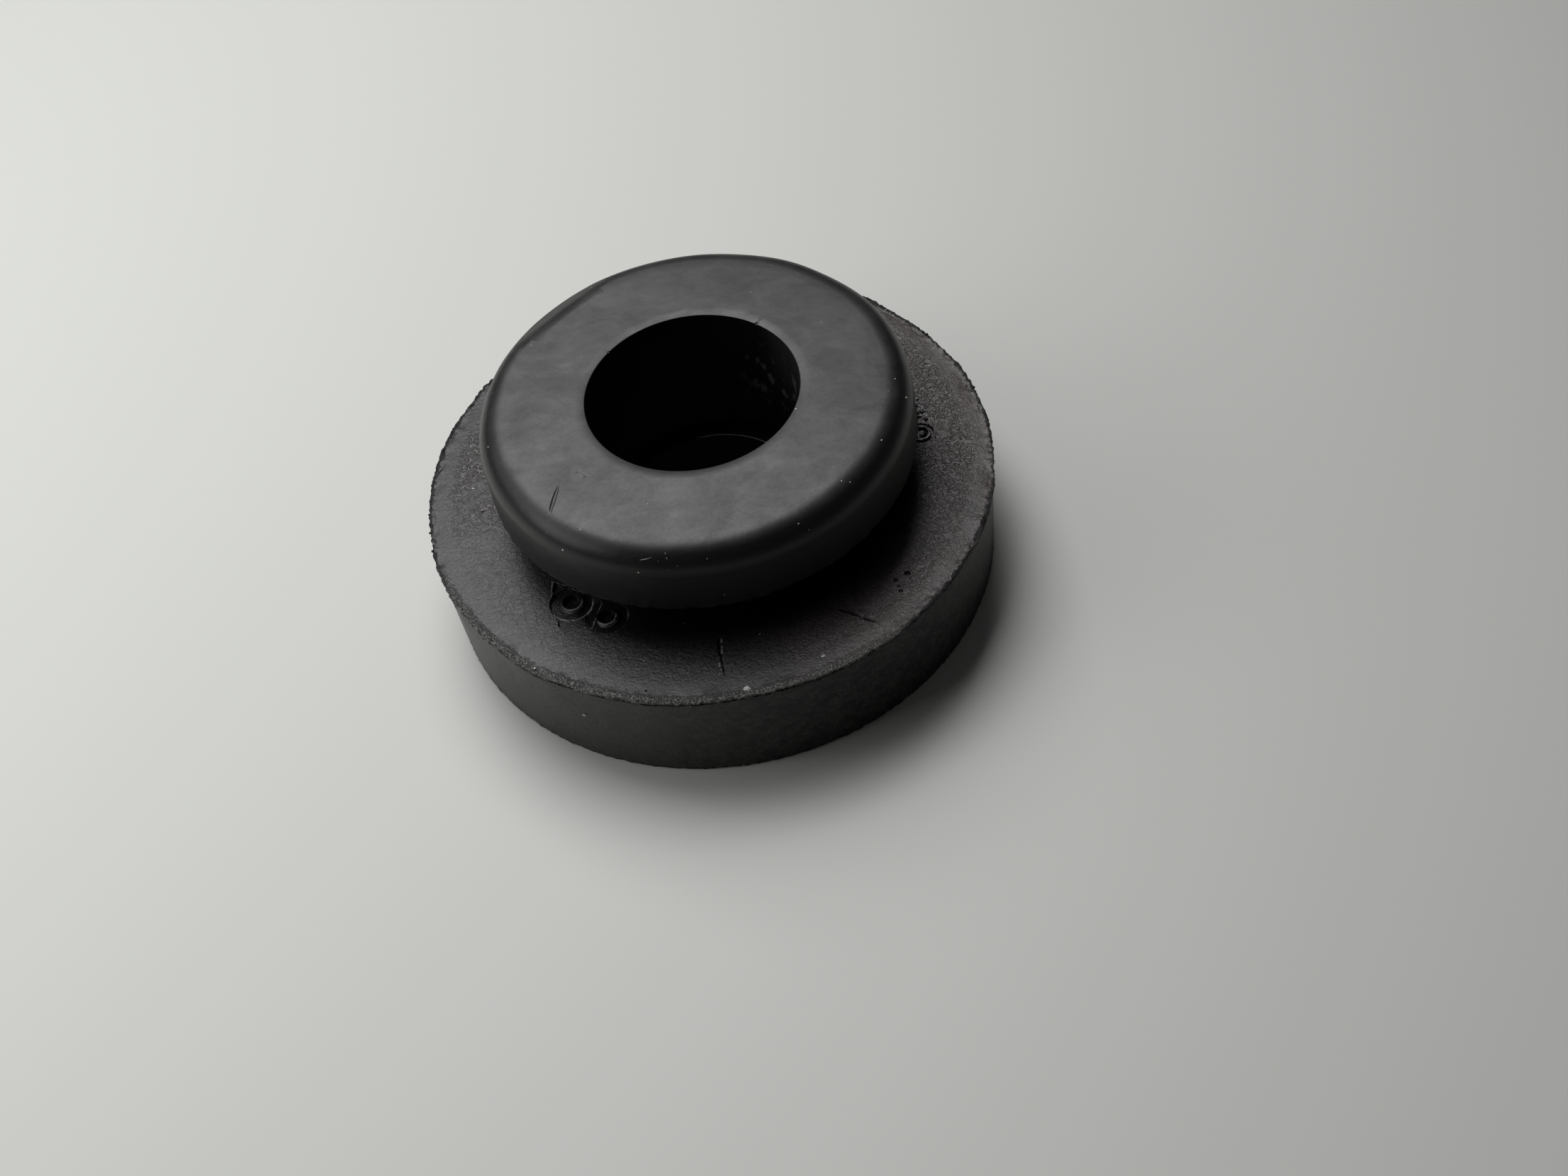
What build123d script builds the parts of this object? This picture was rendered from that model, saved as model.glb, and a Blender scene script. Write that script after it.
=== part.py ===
from build123d import *
import math
import os

# Flanged rubber grommet, moulded in one piece.
# It stands on its wide flange, with the bore upright along +Z and the origin at the centre of the base.
# All sizes are in millimetres.

# Flange: the wide disc, with its side drafted in towards the base
FLANGE_THICKNESS = 9.9
FLANGE_SIDE_DIAMETER = 49.5
FLANGE_BASE_DIAMETER = 49.0
BASE_EDGE_CHAMFER = 0.3

# Parting lip: the thin ring of rubber that the mould's joint leaves round the flange's upper edge
LIP_REACH = 0.25
LIP_THICKNESS = 0.4

# Neck groove: the edge of a panel's hole sits in it, between the flange and the bead
GROOVE_WIDTH = 4.0
NECK_DIAMETER = 29.0
FLANGE_ROOT_RADIUS = 1.0
BEAD_ROOT_CHAMFER = 0.5

# Bead: the smaller head that is pushed through the panel, with a rolled shoulder to lead it in
BEAD_HEIGHT = 6.1
BEAD_DIAMETER = 36.9
BEAD_SIDE_DRAFT = 1.0
BEAD_SHOULDER_RADIUS = 2.2
BEAD_HEEL_CHAMFER = 0.2

# Bore: a wide upper stretch from the head, and a narrower one through the base
UPPER_BORE_DIAMETER = 18.1
LOWER_BORE_DIAMETER = 15.8
LOWER_BORE_LENGTH = 6.2
BORE_MOUTH_CHAMFER = 0.15
BORE_STEP_CHAMFER = 0.25
BORE_BASE_CHAMFER = 0.4

# Levels and half widths that follow from the sizes above
flange_top = FLANGE_THICKNESS
lip_underside = flange_top - LIP_THICKNESS
bead_heel = flange_top + GROOVE_WIDTH
head_top = bead_heel + BEAD_HEIGHT
base_radius = FLANGE_BASE_DIAMETER / 2
side_radius = FLANGE_SIDE_DIAMETER / 2
lip_radius = side_radius + LIP_REACH
neck_radius = NECK_DIAMETER / 2
bead_radius = BEAD_DIAMETER / 2
bead_top_radius = bead_radius - BEAD_HEIGHT * math.tan(math.radians(BEAD_SIDE_DRAFT))
upper_bore = UPPER_BORE_DIAMETER / 2
lower_bore = LOWER_BORE_DIAMETER / 2


def corner(radius, level, blend=0.0, bevel=0.0):
    """One corner of the section, with the fillet or the chamfer that rounds it off."""
    return {"at": (radius, level), "blend": blend, "bevel": bevel}


def outside_corners():
    """Corners of the outer wall, from the base up to the top of the head."""
    return [
        corner(base_radius, 0, bevel=BASE_EDGE_CHAMFER),
        corner(side_radius, lip_underside),
        corner(lip_radius, lip_underside),
        corner(lip_radius, flange_top),
        corner(neck_radius, flange_top, blend=FLANGE_ROOT_RADIUS),
        corner(neck_radius, bead_heel, bevel=BEAD_ROOT_CHAMFER),
        corner(bead_radius, bead_heel, bevel=BEAD_HEEL_CHAMFER),
        corner(bead_top_radius, head_top, blend=BEAD_SHOULDER_RADIUS),
    ]


def bore_corners():
    """Corners of the stepped bore, from the top of the head down to the base."""
    return [
        corner(upper_bore, head_top, bevel=BORE_MOUTH_CHAMFER),
        corner(upper_bore, LOWER_BORE_LENGTH),
        corner(lower_bore, LOWER_BORE_LENGTH, bevel=BORE_STEP_CHAMFER),
        corner(lower_bore, 0, bevel=BORE_BASE_CHAMFER),
    ]


def corner_vertex(section, spot):
    """The vertex of the section that lies on a corner."""
    return section.vertices().sort_by_distance(Vector(spot["at"][0], 0, spot["at"][1])).first


def wall_section():
    """Half section of the wall in the XZ plane, with every corner rounded as it is moulded."""
    corners = outside_corners() + bore_corners()
    points = [spot["at"] for spot in corners]
    with BuildSketch(Plane.XZ) as section:
        with BuildLine():
            Polyline(*points, close=True)
        make_face()
    face = section.sketch
    for spot in corners:
        if spot["blend"]:
            face = fillet(corner_vertex(face, spot), spot["blend"])
        if spot["bevel"]:
            face = chamfer(corner_vertex(face, spot), spot["bevel"])
    return face


def make_grommet():
    """The whole moulding, as one turn of its wall section about the bore's axis."""
    return revolve(wall_section(), axis=Axis.Z, revolution_arc=360)


os.makedirs("parts", exist_ok=True)
grommet = make_grommet()
export_step(grommet, "parts/grommet.step")
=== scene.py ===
import math

import bpy
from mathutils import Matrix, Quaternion, Vector


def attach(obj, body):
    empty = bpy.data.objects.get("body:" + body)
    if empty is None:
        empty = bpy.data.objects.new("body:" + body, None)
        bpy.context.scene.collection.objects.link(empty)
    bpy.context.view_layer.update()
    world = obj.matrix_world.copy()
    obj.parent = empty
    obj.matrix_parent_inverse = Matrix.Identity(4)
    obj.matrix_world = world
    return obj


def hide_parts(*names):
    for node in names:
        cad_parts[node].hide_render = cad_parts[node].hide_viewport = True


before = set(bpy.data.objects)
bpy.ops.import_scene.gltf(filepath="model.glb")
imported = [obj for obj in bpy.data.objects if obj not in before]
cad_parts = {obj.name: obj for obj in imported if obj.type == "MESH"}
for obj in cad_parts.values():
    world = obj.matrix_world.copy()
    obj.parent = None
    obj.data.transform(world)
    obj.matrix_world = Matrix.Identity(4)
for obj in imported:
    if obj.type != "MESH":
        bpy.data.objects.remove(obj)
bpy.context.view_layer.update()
MM = 0.001

# The moulding is the whole grommet: one solid turn of black rubber with a flange, a neck groove and a bead.
# It is pressed in a steel mould that parts at the flange's upper edge, where the flash is torn off by hand.
# Its wall section is drawn from point to point, its corners are rounded, and it is spun about the bore.

FLANGE_TOP = 9.9 * MM
BASE_RADIUS = 24.5 * MM
SIDE_RADIUS = 24.7 * MM
TEAR_DEPTH = 0.1 * MM
TEAR_LEVEL = FLANGE_TOP - 0.45 * MM
LIP_RADIUS = 24.85 * MM
LIP_HEIGHT = 0.07 * MM
LIP_ROUNDING = 0.04 * MM
NECK_RADIUS = 14.5 * MM
BEAD_HEEL = 13.9 * MM
BEAD_RADIUS = 18.45 * MM
BEAD_TOP_RADIUS = 18.34 * MM
SHOULDER_RADIUS = 2.2 * MM
HEAD_TOP = 19.92 * MM
UPPER_BORE = 9.05 * MM
LOWER_BORE = 7.9 * MM
BORE_STEP = 6.2 * MM
SLICES = 36
SLICE_STEPS = 23
CLOSE = 0.003 * MM

# The wall section's corners, from the base's rim over the head and down the bore: radius, level, rounding
section_corners = [
    (BASE_RADIUS, 0.0, 0.2 * MM),
    (BASE_RADIUS + 0.01 * MM, 0.8 * MM, 0),
    (SIDE_RADIUS - 0.01 * MM, TEAR_LEVEL - 0.5 * MM, 0),
    (SIDE_RADIUS, TEAR_LEVEL, LIP_ROUNDING),
    (SIDE_RADIUS - TEAR_DEPTH, TEAR_LEVEL + 0.13 * MM, LIP_ROUNDING),
    (LIP_RADIUS, FLANGE_TOP - 0.12 * MM, LIP_ROUNDING),
    (LIP_RADIUS - 0.02 * MM, FLANGE_TOP + LIP_HEIGHT, LIP_ROUNDING),
    (LIP_RADIUS - 0.35 * MM, FLANGE_TOP + LIP_HEIGHT / 3, 0),
    (LIP_RADIUS - 0.8 * MM, FLANGE_TOP, 0),
    (NECK_RADIUS, FLANGE_TOP, 1.0 * MM),
    (NECK_RADIUS, BEAD_HEEL, 0.5 * MM),
    (BEAD_RADIUS - 0.5 * MM, BEAD_HEEL, 0),
    (BEAD_RADIUS, BEAD_HEEL, 0.12 * MM),
    (BEAD_RADIUS - 0.01 * MM, BEAD_HEEL + 0.5 * MM, 0),
    (BEAD_TOP_RADIUS, HEAD_TOP, SHOULDER_RADIUS),
    (UPPER_BORE, HEAD_TOP, 0.1 * MM),
    (UPPER_BORE, BORE_STEP, 0.2 * MM),
    (LOWER_BORE, BORE_STEP, 0.2 * MM),
    (LOWER_BORE, 0.0, 0.35 * MM),
]


def select_only(piece, domain, wanted):
    """Selects the points, edges or faces of a piece that pass a test, and leaves the piece in edit mode."""
    bpy.ops.object.mode_set(mode="EDIT")
    bpy.ops.mesh.select_mode(type=domain)
    bpy.ops.mesh.select_all(action="DESELECT")
    bpy.ops.object.mode_set(mode="OBJECT")
    mesh = piece.data
    part = {"VERT": mesh.vertices, "EDGE": mesh.edges, "FACE": mesh.polygons}[domain]
    part.foreach_set("select", [bool(wanted(item)) for item in part])
    bpy.ops.object.mode_set(mode="EDIT")


def name_piece(name):
    """Names the primitive that was just added."""
    piece = bpy.context.active_object
    piece.name = name
    piece.data.name = name
    return piece


def draw_outline(name, points):
    """Draws a closed face from one point, extruded from corner to corner, and leaves it in edit mode."""
    bpy.ops.object.select_all(action="DESELECT")
    bpy.ops.mesh.primitive_plane_add(size=MM)
    piece = name_piece(name)
    bpy.ops.object.mode_set(mode="EDIT")
    bpy.ops.mesh.merge(type="CENTER")
    bpy.ops.transform.translate(value=points[0])
    for here, there in zip(points, points[1:]):
        bpy.ops.mesh.extrude_vertices_move(TRANSFORM_OT_translate={"value": there - here})
    bpy.ops.mesh.select_all(action="SELECT")
    bpy.ops.mesh.edge_face_add()
    return piece


def apply_modifier(piece, modifier):
    """Applies one modifier of a piece."""
    bpy.context.view_layer.objects.active = piece
    bpy.ops.object.modifier_apply(modifier=modifier.name)


def ring_spacing(radius, level):
    """How far apart the rings of the moulding are: close at its torn edges, wide where little happens."""
    if radius > 24.0 * MM and (level < 0.5 * MM or level > TEAR_LEVEL - 0.5 * MM):
        return 0.13 * MM
    if radius > BEAD_RADIUS - 0.5 * MM and abs(level - BEAD_HEEL) < 0.5 * MM:
        return 0.15 * MM
    if abs(level - FLANGE_TOP) < 0.1 * MM:
        return 0.6 * MM
    if level > HEAD_TOP - 0.1 * MM:
        return 0.9 * MM
    return 2.0 * MM if radius > UPPER_BORE and level > 0.1 * MM else 5.0 * MM


def rings_wanted(edge):
    """How many rings an edge of the section is cut into."""
    first, last = (grommet.data.vertices[i].co for i in edge.vertices)
    middle = (first + last) / 2
    return int((first - last).length / ring_spacing(middle.x, middle.z))


wall_section = [Vector((radius, 0, level)) for radius, level, rounding in section_corners]
grommet = draw_outline("grommet_moulding", wall_section)
for radius, level, rounding in section_corners:
    if rounding:
        corner = Vector((radius, 0, level))
        select_only(grommet, "VERT", lambda point: (point.co - corner).length < CLOSE)
        bpy.ops.mesh.bevel(offset=rounding, segments=2 + int(rounding / (0.35 * MM)), affect="VERTICES")
bpy.ops.mesh.select_mode(type="FACE")
bpy.ops.mesh.select_all(action="SELECT")
bpy.ops.mesh.delete(type="ONLY_FACE")
bpy.ops.object.mode_set(mode="OBJECT")
counts = sorted({rings_wanted(edge) for edge in grommet.data.edges} - {0}, reverse=True)
for count in counts:
    select_only(grommet, "EDGE", lambda edge: rings_wanted(edge) == count)
    bpy.ops.mesh.subdivide(number_cuts=count)
    bpy.ops.object.mode_set(mode="OBJECT")
bpy.ops.object.mode_set(mode="EDIT")
bpy.ops.mesh.select_all(action="SELECT")
bpy.ops.mesh.spin(steps=SLICE_STEPS, angle=2 * math.pi / SLICES, center=(0, 0, 0), axis=(0, 0, 1))
bpy.ops.object.mode_set(mode="OBJECT")

# One slice is repeated all the way round
bpy.ops.object.empty_add(rotation=(0, 0, 2 * math.pi / SLICES))
turner = bpy.context.active_object
whole_turn = grommet.modifiers.new("whole_turn", "ARRAY")
whole_turn.count = SLICES
whole_turn.use_relative_offset = False
whole_turn.use_object_offset = True
whole_turn.offset_object = turner
apply_modifier(grommet, whole_turn)
bpy.data.objects.remove(turner)
bpy.ops.object.mode_set(mode="EDIT")
bpy.ops.mesh.select_all(action="SELECT")
bpy.ops.mesh.remove_doubles(threshold=CLOSE)
bpy.ops.mesh.normals_make_consistent(inside=False)
bpy.ops.object.mode_set(mode="OBJECT")


# The edges were torn and trimmed by hand, and the rubber crept a little as it cooled


def weight_points(piece, name, weight_at):
    """Makes a vertex group whose weights follow from each point's radius, azimuth in degrees and level."""
    group = piece.vertex_groups.new(name=name)
    levels = {}
    for point in piece.data.vertices:
        x, y, z = point.co
        weight = round(weight_at(math.hypot(x, y) / MM, math.degrees(math.atan2(y, x)), z / MM), 2)
        if weight > 0:
            levels.setdefault(weight, []).append(point.index)
    for weight, points in levels.items():
        group.add(points, weight, "REPLACE")
    return group


def roughen(piece, group, size, amount, direction="RGB_TO_XYZ", depth=1):
    """Moves the points of a group by clouds of a given size."""
    clouds = bpy.data.textures.new(group.name + "_clouds", "CLOUDS")
    clouds.noise_scale = size
    clouds.noise_depth = depth
    clouds.cloud_type = "COLOR" if direction == "RGB_TO_XYZ" else "GRAYSCALE"
    clouds.contrast = 1.6
    tearing = piece.modifiers.new(group.name, "DISPLACE")
    tearing.texture = clouds
    tearing.texture_coords = "LOCAL"
    tearing.direction = direction
    tearing.mid_level = 0.5
    tearing.strength = amount
    tearing.vertex_group = group.name
    apply_modifier(piece, tearing)


def near(value, middle, reach):
    """One at the middle, and nothing from the reach outwards."""
    return max(0.0, 1.0 - abs(value - middle) / reach)


def lip_weight(radius, azimuth, level):
    """The torn lip and the strip below it."""
    if radius < 24.0 or level < 9.2:
        return 0.0
    return min(1.0, (radius - 24.0) / 0.6) * min(1.0, (level - 9.2) / 0.25)


def rim_weight(radius, azimuth, level):
    """The flange's outer band, which was trimmed a little out of round."""
    if radius < 23.6:
        return 0.0
    return min(1.0, (radius - 23.6) / 0.8) * min(1.0, max(0.0, (level - 6.0) / 3.0))


def base_weight(radius, azimuth, level):
    """The trimmed rim of the base."""
    return near(level, 0.0, 0.7) if radius > 24.0 else 0.0


def heel_weight(radius, azimuth, level):
    """The lower edge of the bead."""
    return near(level, 13.95, 0.5) * min(1.0, max(0.0, (radius - 17.9) / 0.4))


def flange_weight(radius, azimuth, level):
    """The flange's upper face, which crept most on its right and on its left."""
    if abs(level - 9.9) > 0.05 or radius < 16.0:
        return 0.0
    creep = max(near(azimuth, 5, 60), near(azimuth, 160, 25), 0.25)
    return creep * near(radius, 20.8, 3.6)


def skin_weight(radius, azimuth, level):
    """Every free face but the base and the bores."""
    return 1.0 if level > 1.0 and radius > 9.3 else 0.0


roughen(grommet, weight_points(grommet, "trimmed_rim", rim_weight), 3.2 * MM, 0.22 * MM)
roughen(grommet, weight_points(grommet, "lip", lip_weight), 0.45 * MM, 0.22 * MM, depth=2)
roughen(grommet, weight_points(grommet, "base_rim", base_weight), 0.4 * MM, 0.14 * MM)
roughen(grommet, weight_points(grommet, "bead_heel", heel_weight), 0.7 * MM, 0.12 * MM)
roughen(grommet, weight_points(grommet, "crept_flange", flange_weight), 0.9 * MM, 0.09 * MM, "NORMAL")
roughen(grommet, weight_points(grommet, "skin", skin_weight), 6.0 * MM, 0.07 * MM, "NORMAL", 0)
select_only(grommet, "VERT", lambda point: point.co.z < 0)
bpy.ops.transform.resize(value=(1, 1, 0), center_override=(0, 0, 0))
bpy.ops.object.mode_set(mode="OBJECT")
grommet.vertex_groups.clear()


# Cuts, pits and creases: blades and balls are taken out of the moulding, and so is a shallow panel.
# The panel holds two round marks of the mould's pins. A third mark and some crumbs lie at the right.


def at(radius, azimuth, level):
    """A point in metres from a radius and a level in millimetres and an azimuth in degrees."""
    turn = math.radians(azimuth)
    return Vector((radius * math.cos(turn), radius * math.sin(turn), level)) * MM


def on_flange(radius, azimuth):
    """A point of the flange's upper face, from a radius in millimetres and an azimuth in degrees."""
    return at(radius, azimuth, FLANGE_TOP / MM)


def blade(start, end, width, depth, ragged=0.0, seed=0):
    """A long thin lens from start to end, half sunk in the surface: it leaves a cut with tapered ends."""
    reach = (end - start).length
    middle = (start + end) / 2
    bpy.ops.object.select_all(action="DESELECT")
    bpy.ops.mesh.primitive_uv_sphere_add(segments=8, ring_count=14, radius=1, rotation=(0, math.pi / 2, 0))
    piece = name_piece("blade")
    bpy.ops.object.transform_apply(location=False, rotation=True, scale=False)
    bpy.ops.object.mode_set(mode="EDIT")
    if ragged:
        bpy.ops.transform.vertex_random(offset=ragged, uniform=1.0, normal=0.0, seed=seed)
    bpy.ops.transform.resize(value=(reach / 2, width * MM / 2, depth * MM), center_override=(0, 0, 0))
    bpy.ops.object.mode_set(mode="OBJECT")
    piece.rotation_mode = "QUATERNION"
    piece.rotation_quaternion = (end - start).to_track_quat("X", "Z")
    piece.location = middle
    bpy.ops.object.transform_apply(location=True, rotation=True, scale=False)
    return piece


def ball(place, width, depth):
    """A flattened ball, which leaves a round pit or stands as a round bump."""
    bpy.ops.object.select_all(action="DESELECT")
    bpy.ops.mesh.primitive_uv_sphere_add(segments=12, ring_count=8, radius=width * MM / 2, location=place)
    piece = name_piece("ball")
    bpy.ops.object.mode_set(mode="EDIT")
    bpy.ops.transform.resize(value=(1, 1, 2 * depth / width), center_override=place)
    bpy.ops.object.mode_set(mode="OBJECT")
    bpy.ops.object.transform_apply(location=True, rotation=True, scale=True)
    return piece


def combine(piece, tools, operation):
    """Takes the tools out of a piece, or adds them to it."""
    bpy.ops.object.select_all(action="DESELECT")
    for tool in tools:
        tool.select_set(True)
    bpy.context.view_layer.objects.active = tools[0]
    bpy.ops.object.join()
    joined = bpy.context.active_object
    change = piece.modifiers.new("change", "BOOLEAN")
    change.operation = operation
    change.solver = "EXACT"
    change.object = joined
    apply_modifier(piece, change)
    bpy.data.objects.remove(joined)


def disc(place, width, depth):
    """A short round plug that reaches from a depth below its place to well above it."""
    bpy.ops.object.select_all(action="DESELECT")
    bpy.ops.mesh.primitive_circle_add(vertices=36, radius=width * MM / 2, fill_type="NGON", location=place)
    piece = name_piece("disc")
    bpy.ops.object.mode_set(mode="EDIT")
    bpy.ops.transform.translate(value=(0, 0, -depth * MM))
    bpy.ops.mesh.extrude_region_move(TRANSFORM_OT_translate={"value": (0, 0, (depth + 0.4) * MM)})
    bpy.ops.transform.resize(value=(1.1, 1.1, 1), center_override=place)
    bpy.ops.mesh.select_all(action="SELECT")
    bpy.ops.mesh.normals_make_consistent(inside=False)
    bpy.ops.object.mode_set(mode="OBJECT")
    bpy.ops.object.transform_apply(location=True, rotation=True, scale=True)
    return piece


def ring_mark(place, width, hole, foot, top):
    """A raised ring, as a round mould pin leaves it, from a foot below its place to a top above it."""
    bpy.ops.object.select_all(action="DESELECT")
    bpy.ops.mesh.primitive_circle_add(vertices=36, radius=width * MM / 2, fill_type="NGON", location=place)
    piece = name_piece("ring_mark")
    bpy.ops.object.mode_set(mode="EDIT")
    bpy.ops.transform.translate(value=(0, 0, -foot * MM))
    bpy.ops.mesh.inset(thickness=(width - hole) * MM / 2)
    bpy.ops.mesh.delete(type="FACE")
    bpy.ops.mesh.select_all(action="SELECT")
    bpy.ops.mesh.extrude_region_move(TRANSFORM_OT_translate={"value": (0, 0, (foot + top) * MM)})
    bpy.ops.mesh.select_all(action="SELECT")
    bpy.ops.mesh.normals_make_consistent(inside=False)
    bpy.ops.object.mode_set(mode="OBJECT")
    bpy.ops.object.transform_apply(location=True, rotation=True, scale=True)
    softened = piece.modifiers.new("softened", "BEVEL")
    softened.width = 0.05 * MM
    softened.segments = 2
    softened.limit_method = "ANGLE"
    apply_modifier(piece, softened)
    return piece


def slab(first, second, third, reach):
    """A thick block whose underside passes through three points: it pares a flat on a rounded corner."""
    along = (second - first).normalized()
    up = along.cross(third - first).normalized()
    up = up if up.z > 0 else -up
    bpy.ops.object.select_all(action="DESELECT")
    bpy.ops.mesh.primitive_cube_add(size=reach * MM)
    piece = name_piece("slab")
    piece.rotation_mode = "QUATERNION"
    piece.rotation_quaternion = up.to_track_quat("Z", "Y")
    piece.location = (first + second) / 2 + up * (reach * MM / 2)
    bpy.ops.object.transform_apply(location=True, rotation=True, scale=False)
    return piece


# Sizes and places of the marks and burrs, given in millimetres and degrees
PANEL_FLOOR = FLANGE_TOP / MM - 0.26
FRONT_MARK_WIDTH = 3.6
FRONT_MARK_DEPTH = 0.36
panel_corners = [
    (-14.7, -8.9), (-15.0, -10.9), (-14.75, -13.7), (-14.25, -14.65), (-12.1, -14.3), (-10.8, -11.4)]
front_marks = [on_flange(17.6, -139.6), on_flange(17.4, -128.1)]
right_mark = on_flange(18.8, -2.0)
BURR_RADIUS = 24.78
BURR_LEVEL = 9.88
BURR_DEPTH = 0.1
BURR_WIDTH = 0.22
BURR_SPREAD = 0.1
burr_azimuths = [
    -3, 8, 27, 37, 54, 71, 142, 151, 163, 168, 176, -179, -174, -169, -163, -158, -149, -28, -41]
# How far a torn blade's points wander, as a share of its half length, half width and depth
RAGGED = 0.05

panel = draw_outline("panel", [Vector((x, y, PANEL_FLOOR)) * MM for x, y in panel_corners])
bpy.ops.mesh.subdivide(number_cuts=4)
bpy.ops.transform.vertex_random(offset=0.09 * MM, uniform=1.0, normal=0.0, seed=4)
bpy.ops.transform.resize(value=(1, 1, 0), center_override=(0, 0, PANEL_FLOOR * MM))
bpy.ops.mesh.extrude_region_move(TRANSFORM_OT_translate={"value": (0, 0, 0.6 * MM)})
bpy.ops.mesh.select_all(action="SELECT")
bpy.ops.mesh.normals_make_consistent(inside=False)
bpy.ops.object.mode_set(mode="OBJECT")

# Cutters of one pass don't cross each other, so cuts that meet are made in different passes
combine(grommet, [
    panel,
    disc(right_mark, width=2.3, depth=0.3),
    # The inner halves of the slit at the front and of the crease at the right front
    blade(on_flange(18.3, -96.4), on_flange(20.4, -96.3), width=0.26, depth=0.35, ragged=RAGGED, seed=1),
    blade(on_flange(19.6, -66.3), on_flange(21.6, -63.4), width=0.34, depth=0.26, ragged=RAGGED, seed=3),
    # Two creases and a nick on the head
    blade(at(14.2, -147.9, 19.92), at(16.9, -141.0, 19.9), width=0.4, depth=0.09),
    blade(at(12.3, -149.1, 19.93), at(12.1, -142.5, 19.93), width=0.14, depth=0.05),
    blade(at(17.9, -112.8, 19.2), at(17.65, -108.8, 19.4), width=0.34, depth=0.14),
    # Pits: a group of four at the right front, two single ones, three beside the right mark
    # and two at the bore's mouth
    ball(on_flange(21.25, -48.0), width=0.55, depth=0.24),
    ball(on_flange(20.9, -51.1), width=0.45, depth=0.2),
    ball(on_flange(21.5, -51.9), width=0.3, depth=0.16),
    ball(on_flange(21.95, -52.7), width=0.4, depth=0.2),
    ball(on_flange(23.7, -111.0), width=0.26, depth=0.1),
    ball(on_flange(20.0, 177.9), width=0.3, depth=0.1),
    ball(on_flange(19.15, 3.4), width=0.5, depth=0.25),
    ball(on_flange(19.25, 7.4), width=0.5, depth=0.25),
    ball(on_flange(19.7, 9.6), width=0.36, depth=0.18),
    ball(at(9.1, 44.0, 19.92), width=0.35, depth=0.12),
    ball(at(9.05, 133.7, 19.92), width=0.3, depth=0.1),
], "DIFFERENCE")
combine(grommet, [
    disc(front_marks[0], FRONT_MARK_WIDTH, FRONT_MARK_DEPTH),
    # The outer halves of the slit and of the crease, and the flat on the shoulder at the back left
    blade(on_flange(20.1, -96.0), on_flange(22.4, -95.5), width=0.2, depth=0.3, ragged=RAGGED, seed=2),
    blade(on_flange(21.4, -63.9), on_flange(22.9, -62.0), width=0.22, depth=0.16, ragged=RAGGED, seed=4),
    slab(at(17.8, 135.5, 19.05), at(17.9, 116.5, 19.05), at(15.7, 121.5, 19.9), reach=12.0),
], "DIFFERENCE")
combine(grommet, [disc(front_marks[1], FRONT_MARK_WIDTH, FRONT_MARK_DEPTH)], "DIFFERENCE")

# What stands up from the flange: the pins' rings, the right mark's core, its crumbs, and burrs on the rim
raised = [
    ring_mark(front_marks[0], width=1.9, hole=1.4, foot=0.6, top=0.0),
    ring_mark(front_marks[1], width=1.8, hole=1.3, foot=0.6, top=0.0),
    ring_mark(right_mark, width=1.8, hole=1.3, foot=0.5, top=0.02),
    ball(at(19.0, -2.0, 9.65), width=0.75, depth=0.3),
    ball(on_flange(19.55, 5.4), width=0.5, depth=0.2),
    ball(on_flange(19.1, 5.3), width=0.4, depth=0.2),
    ball(on_flange(19.1, 9.6), width=0.4, depth=0.2),
    ball(on_flange(19.6, 2.4), width=0.4, depth=0.16),
]
for azimuth in burr_azimuths:
    # The sine of the bare number only makes the widths differ from burr to burr
    burr_width = BURR_WIDTH + BURR_SPREAD * math.sin(azimuth) ** 2
    raised.append(ball(at(BURR_RADIUS, azimuth, BURR_LEVEL), burr_width, BURR_DEPTH))
combine(grommet, raised, "UNION")
bpy.context.view_layer.objects.active = grommet
grommet.select_set(True)
bpy.ops.object.shade_smooth_by_angle(angle=math.radians(40))


# The finish of the moulding: a black satin skin with a grey bloom on its flat faces and dark torn edges,
# with painted shade, painted highlights and painted warm light.
# The rubber leaves the mould glossy. Wax then blooms to grey where nothing rubs it off, and dust sticks.


class Wire:
    """One output in a material's nodes. Arithmetic on wires adds Math nodes to the same material."""

    def __init__(self, socket):
        self.socket = socket

    def node(self, kind, settings, values, output=0):
        """Adds a node: its settings first, then the value or the wire for each socket."""
        made = self.socket.id_data.nodes.new(kind)
        for name, setting in settings.items():
            setattr(made, name, setting)
        for name, value in values.items():
            if isinstance(value, Wire):
                self.socket.id_data.links.new(value.socket, made.inputs[name])
            else:
                made.inputs[name].default_value = value
        return Wire(made.outputs[output])

    def math(self, operation, first, second=0.0):
        return self.node("ShaderNodeMath", {"operation": operation}, {0: first, 1: second})

    def __add__(self, other):
        return self.math("ADD", self, other)

    def __radd__(self, other):
        return self.math("ADD", other, self)

    def __sub__(self, other):
        return self.math("SUBTRACT", self, other)

    def __rsub__(self, other):
        return self.math("SUBTRACT", other, self)

    def __mul__(self, other):
        return self.math("MULTIPLY", self, other)

    def __rmul__(self, other):
        return self.math("MULTIPLY", other, self)

    def __truediv__(self, other):
        return self.math("DIVIDE", self, other)

    def size(self):
        """The value without its sign."""
        return self.math("ABSOLUTE", self)

    def feed(self, socket):
        """Leads the wire into a shader's socket."""
        self.socket.id_data.links.new(self.socket, socket)


def ramp(value, low, high):
    """Rises smoothly from nothing at low to one at high, or falls where low is the larger."""
    return value.node("ShaderNodeMapRange", {"interpolation_type": "SMOOTHSTEP"},
                      {"Value": value, "From Min": low, "From Max": high})


def band(value, low, high, soft):
    """One between low and high, with soft edges."""
    return ramp(value, low - soft, low + soft) * ramp(value, high + soft, high - soft)


def held(value):
    """The value, held between nothing and one."""
    return value.node("ShaderNodeClamp", {}, {0: value})


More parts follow.
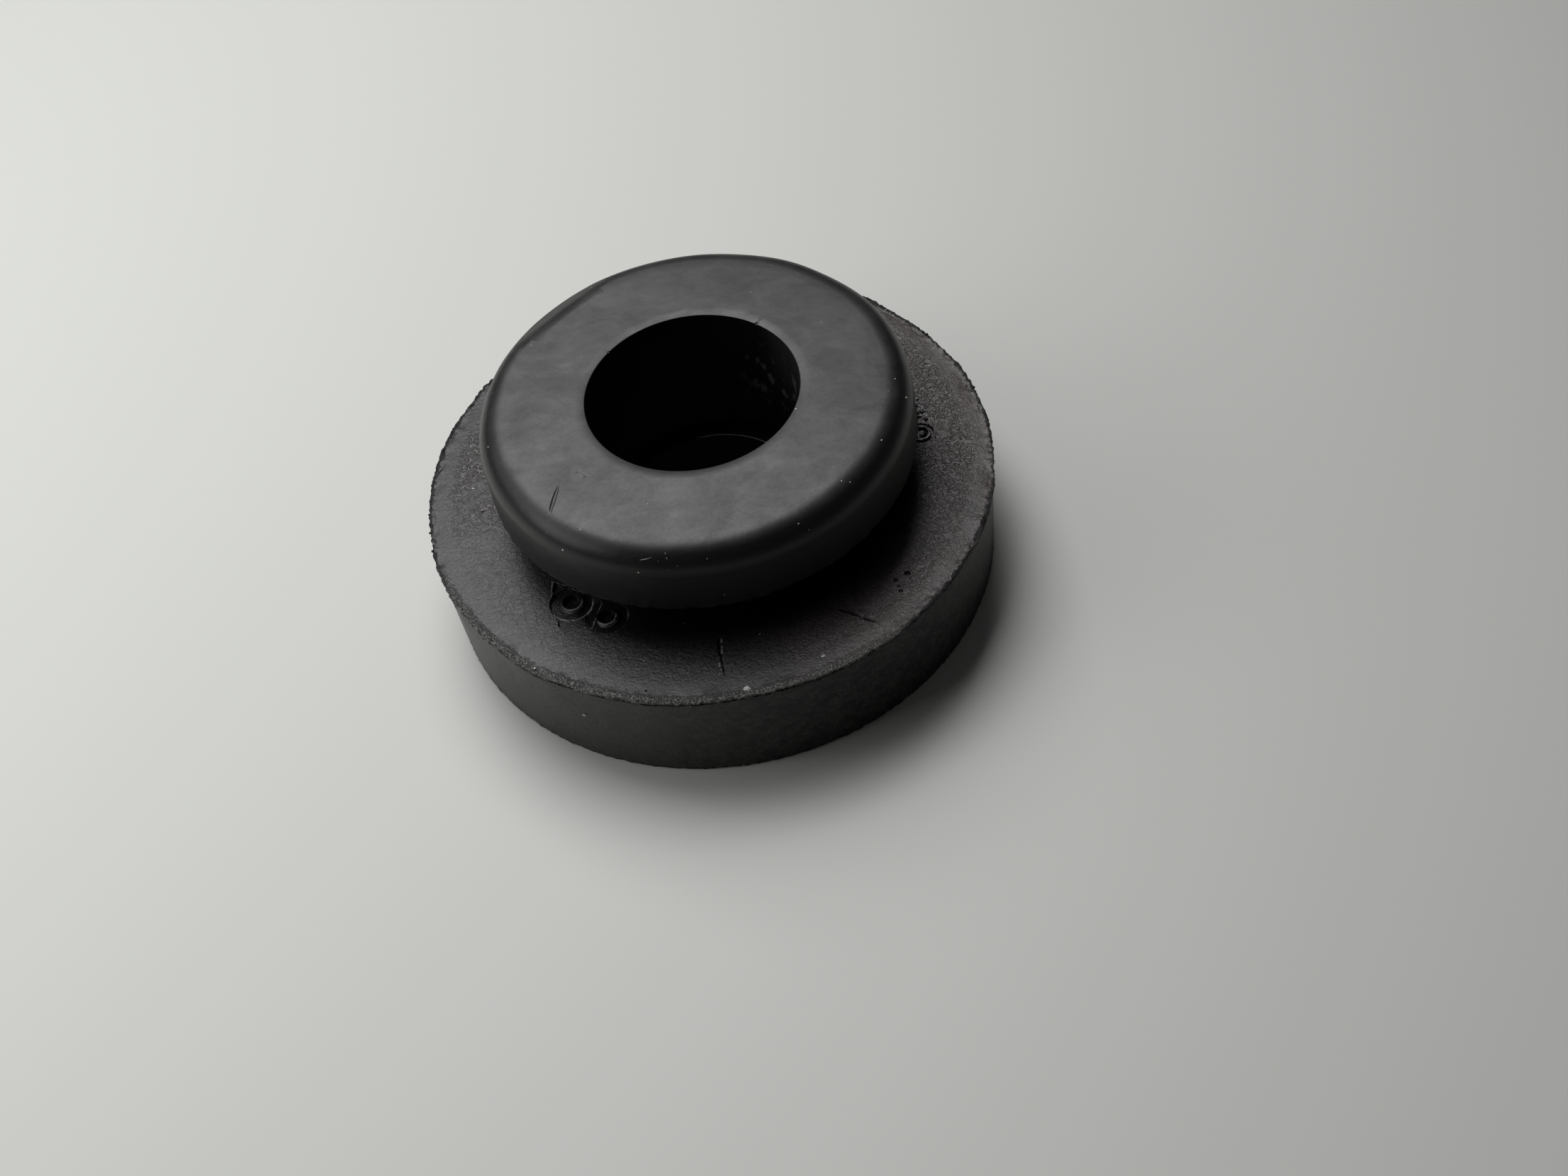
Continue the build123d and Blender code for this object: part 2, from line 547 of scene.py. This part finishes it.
def clouds(place, size, detail=2.0, distortion=0.0):
    """A soft noise from about 0 to 1, with spots of a given size in metres."""
    return place.node("ShaderNodeTexNoise", {}, {
        "Vector": place, "Scale": 1 / size, "Detail": detail, "Distortion": distortion})


def tint(mask, first, second):
    """One colour where the mask is nothing, and the other where it is one."""
    return mask.node("ShaderNodeMix", {"data_type": "RGBA"}, {0: mask, 6: first, 7: second}, 2)


def raised_by(relief):
    """The direction of the skin under a relief in millimetres."""
    return relief.node("ShaderNodeBump", {}, {"Height": relief, "Distance": MM, "Strength": 1.0})


def stretched(place, factors):
    """The place, drawn out along its axes."""
    return place.node("ShaderNodeVectorMath", {"operation": "MULTIPLY"}, {0: place, 1: factors})


def new_finish(name):
    """A new material and its main shader."""
    finish = bpy.data.materials.new(name)
    finish.use_nodes = True
    return finish, finish.node_tree.nodes["Principled BSDF"]


def spots_of(finish):
    """Where the spots of a finish lie: their place, x, y and level, and how far they are from the axis."""
    place = Wire(finish.node_tree.nodes.new("ShaderNodeTexCoord").outputs["Object"])
    across, along, level = [place.node("ShaderNodeSeparateXYZ", {}, {0: place}, axis) for axis in range(3)]
    radius = place.node("ShaderNodeVectorMath", {"operation": "LENGTH"}, {0: stretched(place, (1, 1, 0))}, 1)
    return place, across, along, level, radius


def towards(azimuth):
    """Minus one to one: how far round a spot is towards an azimuth in degrees."""
    turn = math.radians(azimuth)
    return (across * math.cos(turn) + along * math.sin(turn)) / radius


BLACK_SKIN = (0.0055, 0.006, 0.006, 1)
GREY_BLOOM = (0.036, 0.036, 0.035, 1)
FLANGE_GREY = (0.034, 0.0335, 0.033, 1)
# Painted warm light, a brown tint for the flange's right side
PAINTED_WARM_LIGHT = (0.080, 0.062, 0.061, 1)
WARM_SIDE = (0.024, 0.022, 0.017, 1)
# The black of the torn edges, also used for painted shade
TORN_AND_SHADE_BLACK = (0.003, 0.003, 0.003, 1)
TORN_PALE = (0.15, 0.15, 0.145, 1)
FINE_DUST = (0.30, 0.29, 0.27, 1)
SIDE_BLOOM = (0.034, 0.034, 0.032, 1)
# Painted highlight for the wrinkles' ridges
WORM_HIGHLIGHT = (0.11, 0.10, 0.098, 1)
# Pale worn edges, also used for the painted highlights on the marks
PALE_EDGE_AND_HIGHLIGHT = (0.36, 0.375, 0.37, 1)
DULL_ROUGHNESS = 0.5
DULL_SPECULAR = 0.12

skin, principled = new_finish("rubber_skin")
place, across, along, level, radius = spots_of(skin)

# Noises of several sizes
patchy = clouds(place, 3.2 * MM, 3.0, 0.6)
mottled = clouds(place, 0.9 * MM, 3.0, 0.4)
fine = clouds(place, 0.26 * MM, 3.0, 0.3)
specks = clouds(place, 0.16 * MM, 2.0)
wiped = clouds(place.node("ShaderNodeMapping", {}, {
    "Vector": place, "Rotation": (0, 0, math.radians(-55)), "Scale": (0.55, 1.0, 1.0)}), 2.6 * MM, 4.0, 1.2)
ragged_level = level + (clouds(place, 0.45 * MM, 3.0) - 0.5) * (0.45 * MM)
ragged_radius = radius + (clouds(place, 0.4 * MM, 3.0) - 0.5) * (0.8 * MM)

# Where each stretch of the skin lies
flange_face = band(level, FLANGE_TOP - 0.45 * MM, FLANGE_TOP + 1.2 * MM, 0.04 * MM)
flange_face = flange_face * ramp(radius, 14.4 * MM, 15.4 * MM)
flange_side = ramp(radius, 24.0 * MM, 24.3 * MM) * ramp(level, FLANGE_TOP, FLANGE_TOP - 0.3 * MM)
right_flange = flange_face * ramp(towards(-15), 0.1, 0.8)
head_face = ramp(level, HEAD_TOP - 0.5 * MM, HEAD_TOP - 0.06 * MM)
bead_skin = ramp(level, BEAD_HEEL - 0.4 * MM, BEAD_HEEL)
on_shoulder = band(radius, 16.6 * MM, 19.0 * MM, 0.3 * MM) * ramp(level, 13.9 * MM, 14.4 * MM)

# Painted shadow: the flange's skin close to the neck at the front is painted black where the bead's shadow
# falls
painted_shadow_under_bead = flange_face * ramp(radius, 20.0 * MM, 17.4 * MM) * ramp(towards(-70), 0.3, 0.75)

# Torn strips under the flange's lip, round the base and round the bead's heel, and the lip's own dark line
torn_strip = band(ragged_level, TEAR_LEVEL - 0.02 * MM, FLANGE_TOP - 0.16 * MM, 0.05 * MM)
torn_strip = torn_strip * ramp(radius, 24.1 * MM, 24.3 * MM)
base_strip = ramp(ragged_level, 0.3 * MM, 0.16 * MM) * ramp(radius, 24.0 * MM, 24.2 * MM)
heel_strip = band(ragged_level, BEAD_HEEL - 0.3 * MM, BEAD_HEEL + 0.14 * MM, 0.06 * MM)
heel_strip = heel_strip * ramp(radius, 17.6 * MM, 18.0 * MM)
torn = held(torn_strip + base_strip + heel_strip * 0.7)
lip_face = ramp(level, FLANGE_TOP - 0.14 * MM, FLANGE_TOP - 0.02 * MM)
at_front = ramp(towards(-113), 0.5, 0.8)
frayed = ramp(ragged_radius, 23.95 * MM, 24.4 * MM) * lip_face * ramp(specks, 0.38, 0.55) * at_front
lip_line = ramp(ragged_radius, 24.5 * MM, 24.62 * MM) * lip_face * (1 - at_front * 0.8)

PANEL_MIDDLE = Vector((-12.0, -12.0))


def from_spot(spot):
    """How far a spot of the skin lies from a given spot, seen from above."""
    return place.node("ShaderNodeVectorMath", {"operation": "DISTANCE"}, {
        0: stretched(place, (1, 1, 0)), 1: (spot.x, spot.y, 0)}, 1)


def beside(corner, following):
    """How far a spot lies outside the line from one corner of the panel to the next, in metres."""
    line = Vector((following[0] - corner[0], following[1] - corner[1]))
    outward = Vector((line.y, -line.x)).normalized()
    if outward.dot(Vector(corner) - PANEL_MIDDLE) < 0:
        outward = -outward
    return across * outward.x + along * outward.y - outward.dot(Vector(corner)) * MM


# The panel's worn lip, on the half of its outline that shows past the bead
panel_reach = beside(panel_corners[-1], panel_corners[0])
for corner, following in zip(panel_corners, panel_corners[1:]):
    panel_reach = panel_reach.math("MAXIMUM", panel_reach, beside(corner, following))
panel_reach = panel_reach + (clouds(place, 0.3 * MM, 2.0) - 0.5) * (0.35 * MM)
outer_half = ramp(across + along * 1.2, -24.0 * MM, -26.0 * MM)
panel_lip = band(panel_reach, 0.02 * MM, 0.12 * MM, 0.05 * MM) * outer_half * flange_face

# Round marks: each one's middle, the radii of its lines of painted highlight and that of its pale core, in
# millimetres
LINE_REACH = 0.07
round_marks = [
    (front_marks[0], (0.9, 1.75), 0),
    (front_marks[1], (0.85, 1.8), 0),
    (right_mark, (0.8, ), 0.3),
]
mark_cores_and_highlights = 0.0
mark_well_shade = 0.0
for spot, line_radii, core in round_marks:
    reach = from_spot(spot) + (clouds(place, 0.4 * MM, 2.0) - 0.5) * (0.16 * MM)
    # The painted highlight lies only on the lower side of each mark's lines
    lower_side = ramp((along - spot.y - (across - spot.x) * 0.3) / reach, 0.0, -0.6)
    outer_line = line_radii[-1]
    # Painted shade fills each mark's well inside its outer line
    mark_well_shade = mark_well_shade + 0.9 * ramp(reach, (outer_line - 0.02) * MM, (outer_line - 0.12) * MM)
    if core:
        mark_cores_and_highlights = mark_cores_and_highlights + ramp(reach, (core + 0.04) * MM, (core - 0.04) * MM)
    for line_radius in line_radii:
        line = band(reach, (line_radius - LINE_REACH) * MM, (line_radius + LINE_REACH) * MM, 0.035 * MM)
        mark_cores_and_highlights = mark_cores_and_highlights + lower_side * line
mark_cores_and_highlights = mark_cores_and_highlights * flange_face * ramp(clouds(place, 0.5 * MM, 2.0), 0.34, 0.44)

# Pale lips of the slit at the front, pale crumbs beside the right mark, and painted shade on the floors of
# the cuts
SLIT_AZIMUTH = -96
slit_turn = math.radians(SLIT_AZIMUTH + 90)
slit_side = (across * math.cos(slit_turn) + along * math.sin(slit_turn)).size()
slit_lips = band(slit_side, 0.07 * MM, 0.2 * MM, 0.05 * MM) * band(radius, 18.5 * MM, 22.3 * MM, 0.2 * MM)
slit_lips = slit_lips * flange_face * ramp(towards(SLIT_AZIMUTH), 0.9, 0.95)
slit_lips = slit_lips * ramp(clouds(place, 0.35 * MM, 2.0), 0.48, 0.6)
crumbs = flange_face * band(radius, 18.7 * MM, 19.9 * MM, 0.1 * MM) * ramp(towards(5), 0.992, 0.997)
crumbs = crumbs * ramp(clouds(place, 0.3 * MM, 1.0), 0.52, 0.6)
below_flange = FLANGE_TOP - level
# Painted shade: the cuts' floors below the flange's face are painted black, the panel's floor level left out
sunk = ramp(below_flange, 0.06 * MM, 0.1 * MM) * ramp(level, FLANGE_TOP - 0.6 * MM, FLANGE_TOP - 0.5 * MM)
sunk = sunk * (1 - band(below_flange, 0.24 * MM, 0.38 * MM, 0.02 * MM))
sunk = sunk * ramp(radius, 23.4 * MM, 23.0 * MM)

# Worm-like wrinkles, most of them at the flange's right and some at its left
worms = 1 - ramp((clouds(place, 0.95 * MM, 1.0, 2.0) - 0.5).size(), 0.03, 0.12)
left_wrinkles = ramp(towards(161), 0.9, 1.0) * ramp(patchy, 0.35, 0.6)
wrinkled = 0.1 + ramp(towards(12), 0.75, 0.98) + 0.7 * left_wrinkles + 0.3 * ramp(towards(-35), 0.6, 1.0)
wrinkled = wrinkled * flange_face * ramp(ragged_radius, 23.4 * MM, 22.2 * MM)

# Fine dust: pale dots in a few cells of a fine honeycomb, denser on the bead's shoulder
CELL_SIZE = 0.75 * MM
honeycomb = {"Vector": place, "Scale": 1 / CELL_SIZE}
from_cell = place.node("ShaderNodeTexVoronoi", {}, honeycomb)
cell_colour = place.node("ShaderNodeTexVoronoi", {}, honeycomb, 1)
cell_draw = place.node("ShaderNodeSeparateColor", {}, {0: cell_colour})
dust_dots = ramp(from_cell, 0.03 + 0.12 * specks, 0.03 + 0.06 * specks)
dust_dots = dust_dots * ramp(cell_draw + on_shoulder * 0.1, 0.9, 0.94)

# Bloom, stains and dust, with painted warm light, painted highlights and painted shade, laid over the black
# skin one after another
layers = [
    (head_face * (0.2 + 0.5 * ramp(patchy, 0.35, 0.68) + 0.3 * ramp(wiped, 0.36, 0.66)), GREY_BLOOM),
    (flange_face * (0.3 + 0.7 * ramp(fine, 0.36, 0.64)) * ramp(along, 22.0 * MM, -5.0 * MM), FLANGE_GREY),
    # Painted warm light: the flange's right side is tinted brown and lightened where warm light falls
    (right_flange * (0.6 + 0.4 * ramp(fine, 0.4, 0.62)) * ramp(patchy, 0.2, 0.5), PAINTED_WARM_LIGHT),
    (flange_side * (0.2 + 0.8 * ramp(fine, 0.4, 0.62)) * ramp(mottled, 0.35, 0.6), SIDE_BLOOM),
    (flange_side * ramp(towards(-150), 0.45, 0.95) * ramp(patchy, 0.2, 0.7), WARM_SIDE),
    # Painted highlight: pale lines along the wrinkles stand in for their lit ridges
    (flange_face * ramp(wrinkled, 0.1, 0.7) * ramp(worms, 0.2, 0.9), WORM_HIGHLIGHT),
    # Painted shadow under the bead at the front
    (painted_shadow_under_bead, TORN_AND_SHADE_BLACK),
    (torn + lip_line, TORN_AND_SHADE_BLACK),
    # Painted shade in the floors of the cuts and in the marks' wells
    (sunk + mark_well_shade * flange_face, TORN_AND_SHADE_BLACK),
    # Painted highlights on the marks' lines, with their pale cores, the panel's worn lip, the crumbs and the
    # slit's lips
    (mark_cores_and_highlights * 0.9 + panel_lip * 0.6 + crumbs * 0.8 + slit_lips * 0.6, PALE_EDGE_AND_HIGHLIGHT),
    (frayed, TORN_PALE),
    (dust_dots * 0.8, FINE_DUST),
]
colour = BLACK_SKIN
for mask, shade in layers:
    colour = tint(mask, colour, shade)
colour.feed(principled.inputs["Base Color"])

# Gloss: the bead is the smoothest, the flange duller, the torn edges dull
roughness = 0.37 + 0.04 * head_face + 0.04 * flange_face + 0.06 * flange_side + 0.3 * (torn + lip_line)
roughness = roughness + (0.6 - patchy * 0.6 - wiped * 0.6) * 0.2 * (head_face + 0.25)
roughness = roughness + (fine - 0.5) * (0.14 + 0.25 * flange_face)
held(roughness).feed(principled.inputs["Roughness"])

# Relief in millimetres: fine grain all over, wrinkles on the flange, crumbs on the torn edges
relief = (0.008 - 0.005 * bead_skin) * clouds(place, 0.13 * MM, 2.0)
relief = relief + 0.012 * mottled + 0.03 * patchy * bead_skin - wrinkled * worms * 0.1
relief = relief + flange_face * (0.03 + 0.03 * right_flange) * clouds(place, 0.4 * MM, 2.0, 1.2)
relief = relief + (torn + frayed + panel_lip) * 0.18 * clouds(place, 0.26 * MM, 3.0)
relief = relief + flange_side * 0.11 * clouds(stretched(place, (1, 1, 1.6)), 0.6 * MM, 5.0, 0.8)
bumped = raised_by(relief)
bumped.feed(principled.inputs["Normal"])

# Painted shade: the bead's side and the flange's side at the front and right, and the shadowed flange by the
# neck, get a dull copy of the skin
bead_side = ramp(level, 19.2 * MM, 17.6 * MM) * ramp(level, 13.0 * MM, 13.8 * MM)
bead_side = bead_side * ramp(radius, 17.0 * MM, 17.8 * MM)
painted_shade_dulling = bead_side * ramp(towards(-40), -0.3, 0.5) + painted_shadow_under_bead * 0.9
painted_shade_dulling = painted_shade_dulling + flange_side * 0.7 * ramp(towards(-35), 0.1, 0.9)
dull = place.node("ShaderNodeBsdfPrincipled", {}, {
    "Base Color": colour, "Normal": bumped,
    "Roughness": DULL_ROUGHNESS, "Specular IOR Level": DULL_SPECULAR})
glossy = Wire(principled.outputs["BSDF"])
painted_shade_dulling.node("ShaderNodeMixShader", {}, {0: painted_shade_dulling, 1: glossy, 2: dull}).feed(
    skin.node_tree.nodes["Material Output"].inputs["Surface"])
grommet.data.materials.append(skin)

# The bore was cored by a dull pin, so its wall is matt and swallows the light, with patches of bloom near
# its mouth and painted light on its right-hand wall. The step's edge low in the bore carries a painted
# highlight.
BORE_BLACK = (0.002, 0.0022, 0.0022, 1)
BORE_BLOOM_AND_LIGHT = (0.05, 0.052, 0.05, 1)
STEP_HIGHLIGHT = (0.45, 0.45, 0.42, 1)
BORE_ROUGHNESS = 0.6

bore, bore_shader = new_finish("bore_wall")
bore_shader.inputs["Roughness"].default_value = BORE_ROUGHNESS
bore_shader.inputs["Specular IOR Level"].default_value = DULL_SPECULAR
place, across, along, level, radius = spots_of(bore)
bore_spots_and_light = ramp(clouds(stretched(place, (1, 1, 0.6)), 1.0 * MM, 2.0), 0.55, 0.66)
bore_spots_and_light = bore_spots_and_light * ramp(towards(27), 0.78, 0.96)
bore_spots_and_light = bore_spots_and_light * ramp(level, 9.0 * MM, 12.0 * MM) * ramp(level, 18.5 * MM, 16.5 * MM)
# Painted light: the right-hand wall is lightened evenly, where light falls into the bore
bore_spots_and_light = bore_spots_and_light + 0.3 * ramp(towards(14), 0.85, 1.0) * ramp(level, 10.0 * MM, 19.0 * MM)
# Painted highlight along the far side of the step's edge
step_edge_highlight = band(radius, LOWER_BORE - 0.06 * MM, LOWER_BORE + 0.09 * MM, 0.03 * MM)
step_edge_highlight = step_edge_highlight * band(level, BORE_STEP - 0.1 * MM, BORE_STEP + 0.05 * MM, 0.03 * MM)
step_edge_highlight = step_edge_highlight * ramp(towards(66), 0.86, 0.95)
colour = tint(step_edge_highlight, tint(bore_spots_and_light, BORE_BLACK, BORE_BLOOM_AND_LIGHT), STEP_HIGHLIGHT)
colour.feed(bore_shader.inputs["Base Color"])
raised_by(0.01 * clouds(place, 0.4 * MM, 3.0)).feed(bore_shader.inputs["Normal"])
grommet.data.materials.append(bore)


def in_bore(face):
    """Whether a face belongs to the bore's wall, its step included."""
    return math.hypot(face.center.x, face.center.y) < UPPER_BORE + 0.03 * MM and face.center.z > 0


select_only(grommet, "FACE", in_bore)
grommet.active_material_index = 1
bpy.ops.object.material_slot_assign()
bpy.ops.object.mode_set(mode="OBJECT")

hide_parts("grommet")
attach(grommet, "root")

# Dust: a few grains of pale grit that lie on the rubber, the largest near the flange's front edge.
# Each grain is a small ball with its corners knocked about, sunk a little in the skin so that it sits.

GRIT = (0.72, 0.72, 0.68, 1)
DULL_GRIT = (0.5, 0.49, 0.45, 1)
GRAIN_SINK = 0.03
SIDE_GRIT_RADIUS = 24.66


def skin_level(radius):
    """The level of the head's skin at a radius in millimetres, over its flat face and rolled shoulder."""
    roll = SHOULDER_RADIUS / MM
    outward = radius - (BEAD_TOP_RADIUS / MM - roll)
    return HEAD_TOP / MM - GRAIN_SINK - (roll - math.sqrt(roll ** 2 - outward ** 2) if outward > 0 else 0.0)


# Radius, azimuth and size of each grain, and for the side's grains azimuth, level and size
flange_grit = [
    (24.0, -91.4, 0.5), (23.1, -75.3, 0.3), (24.6, -67.7, 0.18), (24.5, -134.3, 0.2),
    (20.8, -113.3, 0.15), (21.0, 169.8, 0.24), (22.9, -157.0, 0.12), (18.9, -86.0, 0.14)]
head_grit = [
    (16.7, -130.5, 0.13), (18.28, -112.5, 0.16), (18.2, -133.5, 0.16), (16.9, -11.7, 0.12),
    (17.8, -16.9, 0.17), (17.1, -34.9, 0.14), (16.7, -53.1, 0.16), (17.2, -51.6, 0.14),
    (15.8, 143.6, 0.2), (17.4, -175.7, 0.17), (9.3, -30.0, 0.2), (18.0, 12.0, 0.1),
    (17.5, -70.0, 0.1), (18.1, -84.0, 0.13)]
side_grit = [(-124.7, 6.0, 0.26), (-156.7, 9.7, 0.25), (-78.0, 8.9, 0.12)]
grit_places = [(on_flange(radius, azimuth), size) for radius, azimuth, size in flange_grit]
grit_places += [(at(radius, azimuth, skin_level(radius)), size) for radius, azimuth, size in head_grit]
grit_places += [(at(SIDE_GRIT_RADIUS, azimuth, level), size) for azimuth, level, size in side_grit]

grains = []
for number, (spot, size) in enumerate(grit_places):
    bpy.ops.object.select_all(action="DESELECT")
    bpy.ops.mesh.primitive_ico_sphere_add(subdivisions=1, radius=1)
    grains.append(name_piece("grain"))
    spread = size * MM
    bpy.ops.object.mode_set(mode="EDIT")
    bpy.ops.transform.vertex_random(offset=0.35, uniform=1.0, normal=0.0, seed=number)
    bpy.ops.transform.resize(value=(0.62 * spread, 0.5 * spread, 0.4 * spread), center_override=(0, 0, 0))
    bpy.ops.transform.translate(value=spot)
    bpy.ops.object.mode_set(mode="OBJECT")
for grain in grains:
    grain.select_set(True)
bpy.ops.object.join()
grit = name_piece("dust_grains")
grit_finish, grit_shader = new_finish("pale_grit")
grit_shader.inputs["Roughness"].default_value = 0.5
grit_place = spots_of(grit_finish)[0]
grit_colour = tint(ramp(clouds(grit_place, 0.2 * MM), 0.35, 0.65), DULL_GRIT, GRIT)
grit_colour.feed(grit_shader.inputs["Base Color"])
grit.data.materials.append(grit_finish)
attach(grit, "root")

# The table: a plain pale sheet, which carries the grommet and its shadow.
# It is wide enough that its edges stay far from the grommet.
TABLE_WIDTH = 3.0
TABLE_PALE = (0.78, 0.79, 0.755, 1)

bpy.ops.object.select_all(action="DESELECT")
bpy.ops.mesh.primitive_plane_add(size=TABLE_WIDTH, location=(0, 0, 0))
table = name_piece("table")
table_finish, table_shader = new_finish("pale_table")
table_shader.inputs["Base Color"].default_value = TABLE_PALE
table_shader.inputs["Roughness"].default_value = 0.6
table.data.materials.append(table_finish)

# The light: a soft window lamp behind and to the left, two faint lamps low at the left, and a dim room.
# A lamp stands at an azimuth and an elevation in degrees and at a distance in metres.


def soft_lamp(name, azimuth, elevation, distance, size, power, target):
    """A square soft lamp that points at a spot on the table."""
    turn, rise = math.radians(azimuth), math.radians(elevation)
    outward = Vector((math.cos(turn) * math.cos(rise), math.sin(turn) * math.cos(rise), math.sin(rise)))
    data = bpy.data.lights.new(name, "AREA")
    data.shape = "SQUARE"
    data.size = size
    data.energy = power
    lamp = bpy.data.objects.new(name, data)
    lamp.location = outward * distance
    lamp.rotation_mode = "QUATERNION"
    lamp.rotation_quaternion = (Vector(target) - outward * distance).to_track_quat("-Z", "Y")
    bpy.context.scene.collection.objects.link(lamp)


soft_lamp("window_lamp", 112, 60, 0.35, 0.25, 0.9, (-0.2, 0, 0))
soft_lamp("corner_lamp", 165, 40, 0.25, 0.15, 0.08, (-0.03, 0, 0))
soft_lamp("side_lamp", 190, 30, 0.2, 0.1, 0.05, (-0.05, 0, 0))
world = bpy.data.worlds.new("room")
world.use_nodes = True
world.node_tree.nodes["Background"].inputs["Color"].default_value = (1, 1, 1, 1)
world.node_tree.nodes["Background"].inputs["Strength"].default_value = 0.03
bpy.context.scene.world = world

# The camera stands where the photograph was taken from, above and in front of the grommet, a little rolled.
# Its distance, elevation and roll were fitted to the edges of the flange, the bead and the bore.
PHOTO_WIDTH, PHOTO_HEIGHT = 2212, 1659
FOCAL_LENGTH_PIXELS = 2600
CAMERA_DISTANCE = 168.7 * MM
CAMERA_ELEVATION = math.radians(48.91)
CAMERA_ROLL = math.radians(11.87)
BASE_CENTRE_PIXEL = (1021.6, 767.6)
SENSOR_WIDTH = 36.0

camera_data = bpy.data.cameras.new("camera")
camera_data.sensor_width = SENSOR_WIDTH
camera_data.lens = FOCAL_LENGTH_PIXELS / PHOTO_WIDTH * SENSOR_WIDTH
camera_data.clip_start = 0.01
camera = bpy.data.objects.new("camera", camera_data)
bpy.context.scene.collection.objects.link(camera)
camera.location = Vector((0, -math.cos(CAMERA_ELEVATION), math.sin(CAMERA_ELEVATION))) * CAMERA_DISTANCE
straight = (-camera.location).to_track_quat("-Z", "Y")
ray = Vector(((BASE_CENTRE_PIXEL[0] - PHOTO_WIDTH / 2) / FOCAL_LENGTH_PIXELS,
              -(BASE_CENTRE_PIXEL[1] - PHOTO_HEIGHT / 2) / FOCAL_LENGTH_PIXELS, -1))
swing = Vector((0, 0, -1)).rotation_difference(ray)
camera.rotation_mode = "QUATERNION"
camera.rotation_quaternion = straight @ Quaternion((0, 0, 1), -CAMERA_ROLL) @ swing.inverted()
bpy.context.scene.camera = camera
bpy.context.scene.view_settings.view_transform = "Standard"
